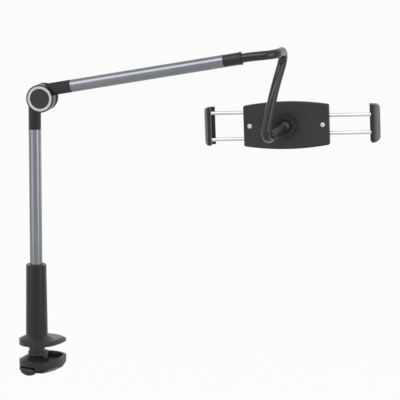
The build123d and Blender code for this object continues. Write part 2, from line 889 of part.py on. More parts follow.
# Section through the ball joint, x outward and y out of the rear of the plate
ball_section = Plane(origin=ball_centre, x_dir=holder.x_dir, z_dir=-holder.y_dir)
ball_axis = Axis(ball_centre, holder.z_dir)
liner_inner = ball_radius + running_gap
liner_outer = liner_inner + liner_thickness
seat_radius = liner_outer + running_gap
liner_foot_angle = 150
rim_height = seat_radius * cos(radians(lip_angle))


def polar(radius, angle):
    return (radius * sin(radians(angle)), radius * cos(radians(angle)))


with BuildPart() as ball_liner:
    with BuildSketch(ball_section):
        with BuildLine():
            half_way = (lip_angle + liner_foot_angle) / 2
            ThreePointArc(
                polar(liner_outer, lip_angle),
                polar(liner_outer, half_way),
                polar(liner_outer, liner_foot_angle),
            )
            Line(polar(liner_outer, liner_foot_angle), polar(liner_inner, liner_foot_angle))
            ThreePointArc(
                polar(liner_inner, liner_foot_angle),
                polar(liner_inner, half_way),
                polar(liner_inner, lip_angle),
            )
            Line(polar(liner_inner, lip_angle), polar(liner_outer, lip_angle))
        make_face()
    revolve(axis=ball_axis)
ball_liner.part.label = "ball_liner"
export_step(ball_liner.part, "parts/ball_liner.step")

flange_foot = rod_radius - rod_depth + 1
journal_foot = -plate_wall - running_gap
thread_foot = 0.1
with BuildPart() as socket_housing:
    with BuildSketch(ball_section):
        with BuildLine():
            Polyline(
                (0, flange_foot - ball_rise),
                (flange_radius, flange_foot - ball_rise),
                (flange_radius, journal_foot - ball_rise),
                (journal_radius, journal_foot - ball_rise),
                (journal_radius, thread_foot - ball_rise),
                (thread_radius, thread_foot - ball_rise),
                (thread_radius, 0),
                (seat_radius, 0),
            )
            ThreePointArc((seat_radius, 0), polar(seat_radius, 135), (0, -seat_radius))
            Line((0, -seat_radius), (0, flange_foot - ball_rise))
        make_face()
    revolve(axis=ball_axis)
socket_housing.part.label = "socket_housing"
export_step(socket_housing.part, "parts/socket_housing.step")

hex_top = 9.5
with BuildPart() as lock_nut:
    with BuildSketch(holder_level(free_gap)):
        RegularPolygon(nut_flats / 2, 6, major_radius=False)
    extrude(amount=hex_top - free_gap)
    chamfer(lock_nut.faces().sort_by(rear_axis)[-1].edges(), length=0.6)
    with BuildSketch(holder_level(hex_top)):
        Circle(nut_rim_radius)
    extrude(amount=ball_rise + rim_height - hex_top)
    with BuildSketch(ball_section):
        with BuildLine():
            Polyline(
                polar(seat_radius, lip_angle),
                (seat_radius * sin(radians(lip_angle)), rim_height + 2),
                (0, rim_height + 2),
                (0, -ball_rise),
                (thread_radius, -ball_rise),
                (thread_radius, 0),
                (seat_radius, 0),
            )
            ThreePointArc(
                (seat_radius, 0),
                polar(seat_radius, (90 + lip_angle) / 2),
                polar(seat_radius, lip_angle),
            )
        make_face()
    revolve(axis=ball_axis, mode=Mode.SUBTRACT)
lock_nut.part.label = "lock_nut"
export_step(lock_nut.part, "parts/lock_nut.step")

# Spring-loaded holder
plate_inner = -plate_depth + cover_thickness
side_wall = 2.5
plate_corner = 2.5
boss_radius = 4.5
screw_radius = 1.5
screw_head_radius = 3.5
screw_sink = 1.2
guide_free_radius = collar_outer + 0.4


def plate_outline(inset):
    with BuildLine() as edge:
        ThreePointArc(
            (-plate_half_width, plate_end_half_height),
            (0, plate_half_height),
            (plate_half_width, plate_end_half_height),
        )
        Line((plate_half_width, plate_end_half_height), (plate_half_width, -plate_end_half_height))
        ThreePointArc(
            (plate_half_width, -plate_end_half_height),
            (0, -plate_half_height),
            (-plate_half_width, -plate_end_half_height),
        )
        Line((-plate_half_width, -plate_end_half_height), (-plate_half_width, plate_end_half_height))
    make_face(edge.edges())
    fillet(vertices(), radius=plate_corner)
    if inset > 0:
        offset(amount=-inset, mode=Mode.REPLACE)


def rod_spots(height):
    return Locations((-height, -rod_depth), (height, -rod_depth))


with BuildPart() as back_plate:
    with BuildSketch(holder_level(plate_inner)):
        plate_outline(0)
    extrude(amount=-plate_inner)
    fillet(back_plate.faces().sort_by(rear_axis)[-1].edges(), radius=1.5)
    with BuildSketch(holder_level(plate_inner)):
        plate_outline(side_wall)
    extrude(amount=-plate_inner - plate_wall, mode=Mode.SUBTRACT)
    with BuildSketch(holder_level(plate_inner)):
        with Locations((-guide_position, 0), (guide_position, 0)):
            Rectangle(guide_thickness, 2 * plate_end_half_height + 4)
        with Locations((-screw_position, 0), (screw_position, 0)):
            Circle(boss_radius)
    extrude(amount=-plate_inner - 1)
    for side, near, far in ((-1, left_rod_height, right_rod_height), (1, right_rod_height, left_rod_height)):
        with BuildSketch(holder_side(side * (plate_half_width - side_wall - 1))):
            with rod_spots(near):
                Circle(rod_radius + running_gap)
        extrude(amount=side * (side_wall + 2), mode=Mode.SUBTRACT)
        with BuildSketch(holder_side(side * guide_position)):
            with rod_spots(near):
                Circle(rod_radius + running_gap)
            with rod_spots(far):
                Circle(guide_free_radius)
        extrude(amount=guide_thickness, both=True, mode=Mode.SUBTRACT)
    with BuildSketch(holder_level(-plate_wall - 2)):
        Circle(journal_radius + running_gap)
    extrude(amount=plate_wall + 3, mode=Mode.SUBTRACT)
    with BuildSketch(holder_level(-screw_sink)):
        with Locations((-screw_position, 0), (screw_position, 0)):
            Circle(screw_head_radius + 0.1)
    extrude(amount=screw_sink + 1, mode=Mode.SUBTRACT)
    with BuildSketch(holder_level(plate_inner)):
        with Locations((-screw_position, 0), (screw_position, 0)):
            Circle(screw_radius + 0.1)
    extrude(amount=-plate_inner, mode=Mode.SUBTRACT)
back_plate.part.label = "back_plate"
export_step(back_plate.part, "parts/back_plate.step")

with BuildPart() as front_cover:
    with BuildSketch(holder_level(-plate_depth)):
        plate_outline(0)
    extrude(amount=cover_thickness)
    fillet(front_cover.faces().sort_by(rear_axis)[0].edges(), radius=0.8)
    with BuildSketch(holder_level(plate_inner)):
        Circle(9)
    extrude(amount=flange_foot - running_gap - plate_inner)
    with BuildSketch(holder_level(plate_inner)):
        with Locations((-screw_position, 0), (screw_position, 0)):
            Circle(screw_radius)
    extrude(amount=-1, mode=Mode.SUBTRACT)
front_cover.part.label = "front_cover"
export_step(front_cover.part, "parts/front_cover.step")

with BuildPart() as plate_screws:
    with BuildSketch(holder_level(-screw_sink)):
        with Locations((-screw_position, 0), (screw_position, 0)):
            Circle(screw_head_radius)
    extrude(amount=1.7)
    fillet(plate_screws.faces().group_by(rear_axis)[-1].edges(), radius=0.7)
    with BuildSketch(holder_level(-0.6)):
        with Locations((-screw_position, 0), (screw_position, 0)):
            RegularPolygon(1.3, 6)
    extrude(amount=3, mode=Mode.SUBTRACT)
    with BuildSketch(holder_level(plate_inner - 1)):
        with Locations((-screw_position, 0), (screw_position, 0)):
            Circle(screw_radius)
    extrude(amount=-plate_inner + 1 - screw_sink)
plate_screws.part.label = "plate_screws"
export_step(plate_screws.part, "parts/plate_screws.step")


def rods_between(start, end, height, radius, bore):
    """Pair of round pieces along the rods, hollow where a bore is given."""
    with BuildSketch(holder_side(start)) as section:
        with rod_spots(height):
            Circle(radius)
            if bore > 0:
                Circle(bore, mode=Mode.SUBTRACT)
    extrude(section.sketch, amount=end - start)


def rod_springs(start, end, height):
    """Pair of compression springs between a guide and the collars of two rods."""
    run = abs(end - start) - spring_wire
    facing = holder.x_dir * (1 if end > start else -1)
    for row in (-height, height):
        foot = holder_point(start, row, -rod_depth) + facing * (spring_wire / 2)
        with BuildLine() as coil:
            Helix(run / spring_turns, run, spring_radius, center=foot, direction=facing)
        with BuildSketch(Plane(origin=coil.wire() @ 0, z_dir=coil.wire() % 0)) as wire:
            Circle(spring_wire / 2)
        sweep(wire.sketch, path=coil.wire(), is_frenet=True)


def jaw_shape(side, grip):
    """Channel that holds one edge of the tablet; side is -1 left and 1 right."""
    wall = grip + jaw_pad_thickness
    with BuildSketch(Plane(origin=holder_point(0, grip_half_height, 0), x_dir=holder.x_dir,
                           z_dir=-holder.y_dir)) as section:
        with BuildLine() as edge:
            Polyline(
                (side * (wall + jaw_back_wall), -plate_wall),
                (side * (wall - jaw_reach), -plate_wall),
                (side * (wall - jaw_reach), -plate_depth),
                (side * wall, -plate_depth),
                (side * wall, lip_thickness - jaw_depth),
                (side * (wall - lip_reach), lip_thickness - jaw_depth),
                (side * (wall - lip_reach), -jaw_depth),
                (side * (wall + jaw_wall), -jaw_depth),
                (side * (wall + jaw_wall), -plate_wall - jaw_slope_depth),
            )
            ThreePointArc(
                (side * (wall + jaw_wall), -plate_wall - jaw_slope_depth),
                (side * (wall + (jaw_wall + jaw_back_wall) / 2 + jaw_bulge), -plate_wall - jaw_slope_depth / 2),
                (side * (wall + jaw_back_wall), -plate_wall),
            )
        make_face(edge.edges())
    extrude(section.sketch, amount=2 * grip_half_height)
    # corners rounded as seen from behind
    with BuildSketch(holder_level(0)) as silhouette:
        with Locations((side * (wall + jaw_wall - jaw_silhouette_width / 2), 0)):
            RectangleRounded(jaw_silhouette_width, 2 * grip_half_height, jaw_corner_radius)
    extrude(silhouette.sketch, amount=-2 * jaw_depth, mode=Mode.INTERSECT)
    with BuildSketch(holder_side(side * (wall + jaw_wall))) as slot:
        with Locations((0, slot_depth_place)):
            RectangleRounded(slot_length, slot_width, slot_width / 2 - 0.1)
    extrude(slot.sketch, amount=-side * slot_cut, mode=Mode.SUBTRACT)


jaw_reach = 2.8
jaw_corner_radius = 7
jaw_silhouette_width = 40
slot_depth_place = -25.4
slot_length = 34
slot_width = 3
slot_cut = 1.5
guide_face = guide_position - guide_thickness / 2

with BuildPart() as left_jaw:
    jaw_shape(-1, left_grip)
    with BuildSketch(holder_side(-left_grip)):
        with rod_spots(left_rod_height):
            Circle(rod_radius)
    extrude(amount=jaw_reach + 1, mode=Mode.SUBTRACT)
    with BuildSketch(holder_side(-left_grip)):
        with rod_spots(left_rod_height):
            Circle(rod_radius)
    extrude(amount=-rod_in_jaw, mode=Mode.SUBTRACT)
left_jaw.part.label = "left_jaw"
export_step(left_jaw.part, "parts/left_jaw.step")

with BuildPart() as right_jaw:
    jaw_shape(1, right_grip)
    with BuildSketch(holder_side(right_grip)):
        with rod_spots(right_rod_height):
            Circle(rod_radius)
    extrude(amount=-jaw_reach - 1, mode=Mode.SUBTRACT)
    with BuildSketch(holder_side(right_grip)):
        with rod_spots(right_rod_height):
            Circle(rod_radius)
    extrude(amount=rod_in_jaw, mode=Mode.SUBTRACT)
right_jaw.part.label = "right_jaw"
export_step(right_jaw.part, "parts/right_jaw.step")

pad_top = -plate_depth - 0.5
pad_foot = lip_thickness - jaw_depth + 0.5


def jaw_pad(start, thickness):
    with BuildSketch(holder_side(start)) as face:
        with Locations((0, (pad_top + pad_foot) / 2)):
            RectangleRounded(2 * grip_half_height - 8, pad_top - pad_foot, 2)
    extrude(face.sketch, amount=thickness)


with BuildPart() as left_jaw_pad:
    jaw_pad(-left_grip, -jaw_pad_thickness)
left_jaw_pad.part.label = "left_jaw_pad"
export_step(left_jaw_pad.part, "parts/left_jaw_pad.step")

with BuildPart() as right_jaw_pad:
    jaw_pad(right_grip, jaw_pad_thickness)
right_jaw_pad.part.label = "right_jaw_pad"
export_step(right_jaw_pad.part, "parts/right_jaw_pad.step")

with BuildPart() as left_rods:
    rods_between(-left_grip - rod_in_jaw, -rod_rest_end, left_rod_height, rod_radius, 0)
left_rods.part.label = "left_rods"
export_step(left_rods.part, "parts/left_rods.step")

with BuildPart() as right_rods:
    rods_between(rod_rest_end, right_grip + rod_in_jaw, right_rod_height, rod_radius, 0)
right_rods.part.label = "right_rods"
export_step(right_rods.part, "parts/right_rods.step")

with BuildPart() as left_rod_collars:
    rods_between(-rod_rest_end - collar_length, -rod_rest_end, left_rod_height, collar_outer, rod_radius)
left_rod_collars.part.label = "left_rod_collars"
export_step(left_rod_collars.part, "parts/left_rod_collars.step")

with BuildPart() as right_rod_collars:
    rods_between(rod_rest_end, rod_rest_end + collar_length, right_rod_height, collar_outer, rod_radius)
right_rod_collars.part.label = "right_rod_collars"
export_step(right_rod_collars.part, "parts/right_rod_collars.step")

with BuildPart() as left_springs:
    rod_springs(-guide_face, -rod_rest_end - collar_length, left_rod_height)
left_springs.part.label = "left_springs"
export_step(left_springs.part, "parts/left_springs.step")

with BuildPart() as right_springs:
    rod_springs(guide_face, rod_rest_end + collar_length, right_rod_height)
right_springs.part.label = "right_springs"
export_step(right_springs.part, "parts/right_springs.step")
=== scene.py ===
import json
import logging
import math
from dataclasses import dataclass
from enum import Enum

import bpy
from mathutils import Matrix, Vector


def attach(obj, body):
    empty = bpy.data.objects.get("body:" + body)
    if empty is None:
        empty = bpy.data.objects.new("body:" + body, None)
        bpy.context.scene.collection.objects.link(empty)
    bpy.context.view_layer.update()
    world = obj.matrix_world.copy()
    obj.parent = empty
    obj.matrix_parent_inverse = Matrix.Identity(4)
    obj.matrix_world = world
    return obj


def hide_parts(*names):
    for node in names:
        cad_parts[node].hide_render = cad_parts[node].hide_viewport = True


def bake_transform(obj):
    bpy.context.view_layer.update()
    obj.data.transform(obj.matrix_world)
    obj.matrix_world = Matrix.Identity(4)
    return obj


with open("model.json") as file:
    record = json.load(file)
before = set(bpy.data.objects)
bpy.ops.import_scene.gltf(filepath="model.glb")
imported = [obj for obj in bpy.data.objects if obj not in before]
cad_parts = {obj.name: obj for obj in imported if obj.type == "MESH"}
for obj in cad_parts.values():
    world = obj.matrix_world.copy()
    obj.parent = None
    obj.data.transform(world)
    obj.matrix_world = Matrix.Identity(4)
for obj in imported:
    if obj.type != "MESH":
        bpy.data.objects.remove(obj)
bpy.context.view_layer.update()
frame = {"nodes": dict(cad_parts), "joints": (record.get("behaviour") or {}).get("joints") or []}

log = logging.getLogger("stand")

Triple = tuple[float, float, float]

# Metres in a millimetre, and the sizes and angles used on every softened piece.
MM = 0.001
MERGE_DISTANCE = 0.000002
FLAT_ANGLE = 0.6
SMOOTH_ANGLE = 28.0

SIDES = (-1.0, 1.0)
EVEN = (1.0, 1.0, 1.0)
WHITE = (1.0, 1.0, 1.0, 1.0)

# Slope of the arm, by which its hose starts and its tube's streaks run.
ARM_TILT = math.radians(10.8)


class Grain(Enum):
    """Surface texture of a finish."""

    MOULDED = "moulded"
    STREAKED = "streaked"
    POLISHED = "polished"


class Sheet:
    """Small helper that adds and links the nodes of one tree."""

    def __init__(self, tree: bpy.types.NodeTree) -> None:
        """Start on a node tree.

        Args:
            tree: The tree that receives the nodes.
        """
        self.tree = tree

    def add(self, kind: str, **values: object) -> bpy.types.Node:
        """Add a node and set its properties and inputs.

        Args:
            kind: Blender's type name of the node.
            values: Properties by their names, and inputs by in_ and a number.

        Returns:
            The new node.
        """
        node = self.tree.nodes.new(kind)
        for key, value in values.items():
            if key.startswith("in_"):
                node.inputs[int(key.removeprefix("in_"))].default_value = value
            else:
                setattr(node, key, value)
        return node

    def link(self, start: bpy.types.NodeSocket, end: bpy.types.NodeSocket) -> None:
        """Link an output to an input."""
        self.tree.links.new(start, end)

    @staticmethod
    def fill(node: bpy.types.Node, values: dict[str, object]) -> None:
        """Set inputs of a node.

        Args:
            node: The node.
            values: The inputs' names and what they are set to.
        """
        for name, value in values.items():
            node.inputs[name].default_value = value


class SurfaceGroup:
    """Node group that gives a finish its colour, roughness and normal."""

    INPUTS = (
        ("Base", "NodeSocketColor"),
        ("Light", "NodeSocketColor"),
        ("Roughness", "NodeSocketFloat"),
        ("Spread", "NodeSocketFloat"),
        ("Scale", "NodeSocketFloat"),
        ("Depth", "NodeSocketFloat"),
        ("Stretch", "NodeSocketVector"),
        ("Turn", "NodeSocketVector"),
    )
    OUTPUTS = (
        ("Color", "NodeSocketColor"),
        ("Roughness", "NodeSocketFloat"),
        ("Normal", "NodeSocketVector"),
    )
    FINE_DETAIL = 3.0
    FINE_ROUGHNESS = 0.55
    FINE_SHARE = 0.6
    BROAD_SCALE = 14.0
    BROAD_DETAIL = 2.0
    BROAD_SHARE = 0.4
    MIDDLE = 0.5
    FADE_FROM = 0.3
    FADE_TO = 0.7
    BUMP_STRENGTH = 0.35
    built: bpy.types.NodeTree | None = None

    @classmethod
    def tree(cls) -> bpy.types.NodeTree:
        """Give the group, which is built on the first call.

        Returns:
            The node tree of the group.
        """
        if cls.built is None:
            cls.built = cls._build()
        return cls.built

    @classmethod
    def _build(cls) -> bpy.types.NodeTree:
        """Build the group.

        Returns:
            The new node tree.
        """
        tree = bpy.data.node_groups.new("surface_grain", "ShaderNodeTree")
        for name, kind in cls.INPUTS:
            tree.interface.new_socket(name, in_out="INPUT", socket_type=kind)
        for name, kind in cls.OUTPUTS:
            tree.interface.new_socket(name, in_out="OUTPUT", socket_type=kind)
        sheet = Sheet(tree)
        given = sheet.add("NodeGroupInput")
        result = sheet.add("NodeGroupOutput")
        fine, pattern = cls._pattern(sheet, given)
        sheet.link(cls._colour(sheet, given, pattern), result.inputs["Color"])
        sheet.link(cls._roughness(sheet, given, pattern), result.inputs["Roughness"])
        sheet.link(cls._normal(sheet, given, fine), result.inputs["Normal"])
        return tree

    @classmethod
    def _pattern(cls, sheet: Sheet,
                 given: bpy.types.Node) -> tuple[bpy.types.NodeSocket, bpy.types.NodeSocket]:
        """Lay fine grain over broad mottling.

        Args:
            sheet: The group's nodes.
            given: The node with the group's inputs.

        Returns:
            The fine grain alone, and both together.
        """
        place = sheet.add("ShaderNodeTexCoord")
        mapping = sheet.add("ShaderNodeMapping")
        sheet.link(place.outputs["Object"], mapping.inputs["Vector"])
        sheet.link(given.outputs["Stretch"], mapping.inputs["Scale"])
        sheet.link(given.outputs["Turn"], mapping.inputs["Rotation"])
        fine = sheet.add("ShaderNodeTexNoise", in_3=cls.FINE_DETAIL, in_4=cls.FINE_ROUGHNESS)
        sheet.link(mapping.outputs["Vector"], fine.inputs["Vector"])
        sheet.link(given.outputs["Scale"], fine.inputs["Scale"])
        broad = sheet.add("ShaderNodeTexNoise", in_2=cls.BROAD_SCALE, in_3=cls.BROAD_DETAIL)
        sheet.link(place.outputs["Object"], broad.inputs["Vector"])
        share = sheet.add("ShaderNodeMath", operation="MULTIPLY", in_1=cls.FINE_SHARE)
        sheet.link(fine.outputs["Fac"], share.inputs[0])
        both = sheet.add("ShaderNodeMath", operation="MULTIPLY_ADD", in_1=cls.BROAD_SHARE)
        sheet.link(broad.outputs["Fac"], both.inputs[0])
        sheet.link(share.outputs["Value"], both.inputs[2])
        return fine.outputs["Fac"], both.outputs["Value"]

    @classmethod
    def _colour(cls, sheet: Sheet, given: bpy.types.Node,
                pattern: bpy.types.NodeSocket) -> bpy.types.NodeSocket:
        """Fade between the two colours by the pattern.

        Args:
            sheet: The group's nodes.
            given: The node with the group's inputs.
            pattern: Grain and mottling together.

        Returns:
            The colour.
        """
        curve = sheet.add("ShaderNodeMapRange", interpolation_type="SMOOTHSTEP",
                          in_1=cls.FADE_FROM, in_2=cls.FADE_TO)
        sheet.link(pattern, curve.inputs["Value"])
        mix = sheet.add("ShaderNodeMix", data_type="RGBA")
        sheet.link(curve.outputs["Result"], mix.inputs["Factor"])
        sheet.link(given.outputs["Base"], mix.inputs["A"])
        sheet.link(given.outputs["Light"], mix.inputs["B"])
        return mix.outputs["Result"]

    @classmethod
    def _roughness(cls, sheet: Sheet, given: bpy.types.Node,
                   pattern: bpy.types.NodeSocket) -> bpy.types.NodeSocket:
        """Spread the roughness about its value by the pattern.

        Args:
            sheet: The group's nodes.
            given: The node with the group's inputs.
            pattern: Grain and mottling together.

        Returns:
            The roughness.
        """
        centred = sheet.add("ShaderNodeMath", operation="SUBTRACT", in_1=cls.MIDDLE)
        sheet.link(pattern, centred.inputs[0])
        rough = sheet.add("ShaderNodeMath", operation="MULTIPLY_ADD", use_clamp=True)
        sheet.link(centred.outputs["Value"], rough.inputs[0])
        sheet.link(given.outputs["Spread"], rough.inputs[1])
        sheet.link(given.outputs["Roughness"], rough.inputs[2])
        return rough.outputs["Value"]

    @classmethod
    def _normal(cls, sheet: Sheet, given: bpy.types.Node,
                fine: bpy.types.NodeSocket) -> bpy.types.NodeSocket:
        """Raise the fine grain.

        Args:
            sheet: The group's nodes.
            given: The node with the group's inputs.
            fine: The fine grain.

        Returns:
            The normal.
        """
        bump = sheet.add("ShaderNodeBump", in_0=cls.BUMP_STRENGTH)
        sheet.link(given.outputs["Depth"], bump.inputs["Distance"])
        sheet.link(fine, bump.inputs["Height"])
        return bump.outputs["Normal"]


@dataclass(frozen=True)
class Finish:
    """One surface finish and how its material is made."""

    name: str
    slot: str
    base: Triple
    light: Triple
    roughness: float
    spread: float
    grain: Grain
    grain_scale: float
    depth: float
    metallic: float = 0.0
    coat: float = 0.0
    coat_roughness: float = 0.12
    specular: float = 0.5
    stretch: Triple = EVEN
    turn: Triple = (0.0, 0.0, 0.0)

    def material(self) -> bpy.types.Material:
        """Give this finish's material, which is made on the first call.

        Returns:
            The material.
        """
        known = bpy.data.materials.get(self.name)
        if known is not None:
            return known
        made = bpy.data.materials.new(self.name)
        made.use_nodes = True
        sheet = Sheet(made.node_tree)
        shader = made.node_tree.nodes["Principled BSDF"]
        surface = sheet.add("ShaderNodeGroup", node_tree=SurfaceGroup.tree())
        sheet.fill(shader, {
            "Metallic": self.metallic,
            "Coat Weight": self.coat,
            "Coat Roughness": self.coat_roughness,
            "Specular IOR Level": self.specular,
        })
        sheet.fill(surface, {
            "Base": (*self.base, 1.0),
            "Light": (*self.light, 1.0),
            "Roughness": self.roughness,
            "Spread": self.spread,
            "Scale": self.grain_scale,
            "Depth": self.depth,
            "Stretch": self.stretch if self.grain is Grain.STREAKED else EVEN,
            "Turn": self.turn,
        })
        sheet.link(surface.outputs["Color"], shader.inputs["Base Color"])
        sheet.link(surface.outputs["Roughness"], shader.inputs["Roughness"])
        if self.grain is not Grain.POLISHED:
            sheet.link(surface.outputs["Normal"], shader.inputs["Normal"])
        return made


PLASTIC = Finish(
    "satin_black_plastic", "black_plastic",
    base=(0.009, 0.009, 0.0092), light=(0.014, 0.014, 0.0142), roughness=0.34, spread=0.2,
    grain=Grain.MOULDED, grain_scale=1400.0, depth=0.0001, specular=0.34)
ELBOW_PLASTIC = Finish(
    "elbow_black_plastic", "black_plastic",
    base=(0.038, 0.0375, 0.037), light=(0.046, 0.0455, 0.045), roughness=0.6, spread=0.2,
    grain=Grain.MOULDED, grain_scale=1300.0, depth=0.0001, specular=0.03)
SLEEVE_PLASTIC = Finish(
    "sleeve_black_plastic", "black_plastic",
    base=(0.006, 0.006, 0.0062), light=(0.01, 0.01, 0.0102), roughness=0.24, spread=0.16,
    grain=Grain.MOULDED, grain_scale=1100.0, depth=0.00006, specular=0.34)
PLATE_PLASTIC = Finish(
    "plate_grained_plastic", "black_plastic",
    base=(0.036, 0.036, 0.0365), light=(0.048, 0.048, 0.0485), roughness=0.55, spread=0.25,
    grain=Grain.MOULDED, grain_scale=1500.0, depth=0.0002, specular=0.12)
DARK_METAL = Finish(
    "black_powder_coat", "dark_metal",
    base=(0.01, 0.01, 0.0102), light=(0.016, 0.016, 0.0162), roughness=0.34, spread=0.22,
    grain=Grain.MOULDED, grain_scale=1600.0, depth=0.00014, specular=0.38)
DARK_LINER = Finish(
    "dark_liner", "bearing_plastic",
    base=(0.01, 0.01, 0.0105), light=(0.016, 0.016, 0.0165), roughness=0.4, spread=0.2,
    grain=Grain.MOULDED, grain_scale=1600.0, depth=0.0001, specular=0.2)
TUBE_UPRIGHT = Finish(
    "anodised_tube_upright", "silver_tube",
    base=(0.175, 0.184, 0.198), light=(0.21, 0.219, 0.233), roughness=0.2, spread=0.1,
    grain=Grain.STREAKED, grain_scale=900.0, depth=0.00001, metallic=1.0,
    stretch=(1.0, 1.0, 0.02))
TUBE_ARM = Finish(
    "anodised_tube_arm", "silver_tube",
    base=(0.175, 0.184, 0.198), light=(0.21, 0.219, 0.233), roughness=0.24, spread=0.1,
    grain=Grain.STREAKED, grain_scale=900.0, depth=0.00001, metallic=1.0,
    stretch=(0.02, 1.0, 1.0), turn=(0.0, ARM_TILT, 0.0))
RING = Finish(
    "brushed_ring", "ring_metal",
    base=(0.43, 0.43, 0.435), light=(0.5, 0.5, 0.505), roughness=0.4, spread=0.2,
    grain=Grain.STREAKED, grain_scale=1500.0, depth=0.00005, metallic=0.6,
    stretch=(0.08, 1.0, 1.0))
STEEL = Finish(
    "plain_steel", "steel",
    base=(0.42, 0.42, 0.43), light=(0.52, 0.52, 0.53), roughness=0.34, spread=0.2,
    grain=Grain.STREAKED, grain_scale=1200.0, depth=0.00003, metallic=1.0)
DARK_PIN = Finish(
    "blackened_pin", "steel",
    base=(0.05, 0.05, 0.051), light=(0.08, 0.08, 0.081), roughness=0.4, spread=0.2,
    grain=Grain.STREAKED, grain_scale=1200.0, depth=0.00003, metallic=1.0)
CHROME = Finish(
    "polished_rod", "rod_chrome",
    base=(0.5, 0.5, 0.51), light=(0.6, 0.6, 0.61), roughness=0.16, spread=0.08,
    grain=Grain.POLISHED, grain_scale=600.0, depth=0.0, metallic=1.0)
SCREW = Finish(
    "polished_screw", "screw_steel",
    base=(0.55, 0.55, 0.56), light=(0.65, 0.65, 0.66), roughness=0.24, spread=0.1,
    grain=Grain.POLISHED, grain_scale=900.0, depth=0.0, metallic=0.8)
RUBBER = Finish(
    "matt_rubber", "rubber",
    base=(0.014, 0.014, 0.014), light=(0.022, 0.022, 0.022), roughness=0.75, spread=0.2,
    grain=Grain.MOULDED, grain_scale=2200.0, depth=0.0002, specular=0.2)
HOSE = Finish(
    "hose_sheath", "hose_rubber",
    base=(0.004, 0.004, 0.0042), light=(0.009, 0.009, 0.0092), roughness=0.2, spread=0.1,
    grain=Grain.MOULDED, grain_scale=1500.0, depth=0.00002, coat=0.3, specular=0.3)
BEARING = Finish(
    "bearing_plastic", "bearing_plastic",
    base=(0.02, 0.02, 0.0205), light=(0.028, 0.028, 0.0285), roughness=0.6, spread=0.2,
    grain=Grain.MOULDED, grain_scale=1500.0, depth=0.0001, specular=0.05)


def dress(thing: bpy.types.Object, finish: Finish) -> None:
    """Give an object one finish.

    Args:
        thing: The object to dress.
        finish: The finish of its whole surface.
    """
    thing.data.materials.clear()
    thing.data.materials.append(finish.material())


def only(thing: bpy.types.Object) -> None:
    """Select one object alone and make it active.

    Args:
        thing: The object to select.
    """
    bpy.ops.object.select_all(action="DESELECT")
    thing.select_set(True)
    bpy.context.view_layer.objects.active = thing


@dataclass
class Assembly:
    """Group of nodes and pieces that belong together."""

    body: str

    def keep(self, node: str, finish: Finish) -> None:
        """Keep a CAD node and give it its finish.

        Args:
            node: Name of the node.
            finish: The finish of its surface.
        """
        dress(frame["nodes"][node], finish)
        log.info("%s keeps its shape", node)

    def soften(self, node: str, finish: Finish, width: float, segments: int = 3,
               angle: float = 32.0) -> bpy.types.Object:
        """Stand a copy with rounded edges in a CAD node's place.

        Args:
            node: Name of the node that the copy replaces.
            finish: The finish of its surface.
            width: Width of the rounded edges, in millimetres.
            segments: Steps across a rounded edge.
            angle: Least angle between two faces whose edge is rounded, in degrees.

        Returns:
            The new piece.
        """
        source = frame["nodes"][node]
        piece = bpy.data.objects.new(f"{node}_finished", source.data.copy())
        bpy.context.scene.collection.objects.link(piece)
        only(piece)
        bpy.ops.object.mode_set(mode="EDIT")
        bpy.ops.mesh.select_all(action="SELECT")
        bpy.ops.mesh.remove_doubles(threshold=MERGE_DISTANCE)
        bpy.ops.mesh.dissolve_limited(angle_limit=math.radians(FLAT_ANGLE))
        bpy.ops.object.mode_set(mode="OBJECT")
        bevel = piece.modifiers.new("edges", "BEVEL")
        bevel.limit_method = "ANGLE"
        bevel.angle_limit = math.radians(angle)
        bevel.width = width * MM
        bevel.segments = segments
        bevel.use_clamp_overlap = True
        bpy.ops.object.modifier_apply(modifier=bevel.name)
        bpy.ops.object.shade_smooth_by_angle(angle=math.radians(SMOOTH_ANGLE))
        dress(piece, finish)
        self.ride(piece, finish, node)
        return piece

    def ride(self, piece: bpy.types.Object, finish: Finish, *nodes: str) -> None:
        """Make a new piece move with this assembly's body and stand for nodes.

        Args:
            piece: The new piece.
            finish: Not used.
            nodes: Names of the nodes that it replaces.
        """
        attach(piece, self.body)
        if nodes:
            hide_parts(*nodes)
        log.info("%s rides on %s", piece.name, self.body)


@dataclass
class Clamp(Assembly):
    """Upper jaw, post and sleeve at the foot of the pole."""

    jaw_edge: float = 2.6

    def build(self) -> None:
        """Dress the fixed pieces of the clamp."""
        self.keep("clamp_post", DARK_METAL)
        self.keep("desk_pad", RUBBER)
        self.keep("sleeve_bushes", BEARING)
        self.keep("sleeve_plug", STEEL)
        self.keep("thrust_washer", BEARING)
        self.keep("base_bolt", STEEL)
        self.soften("upper_jaw", DARK_METAL, self.jaw_edge)
        self.keep("base_sleeve", SLEEVE_PLASTIC)


@dataclass
class LowerJaw(Assembly):
    """Sliding jaw with its shoe, teeth and pin."""

    jaw_edge: float = 1.1

    def build(self) -> None:
        """Dress the sliding jaw."""
        self.soften("lower_jaw", PLASTIC, self.jaw_edge)
        self.keep("tooth_insert", STEEL)
        self.keep("cam_shoe", DARK_PIN)
        self.keep("lever_pin", DARK_PIN)


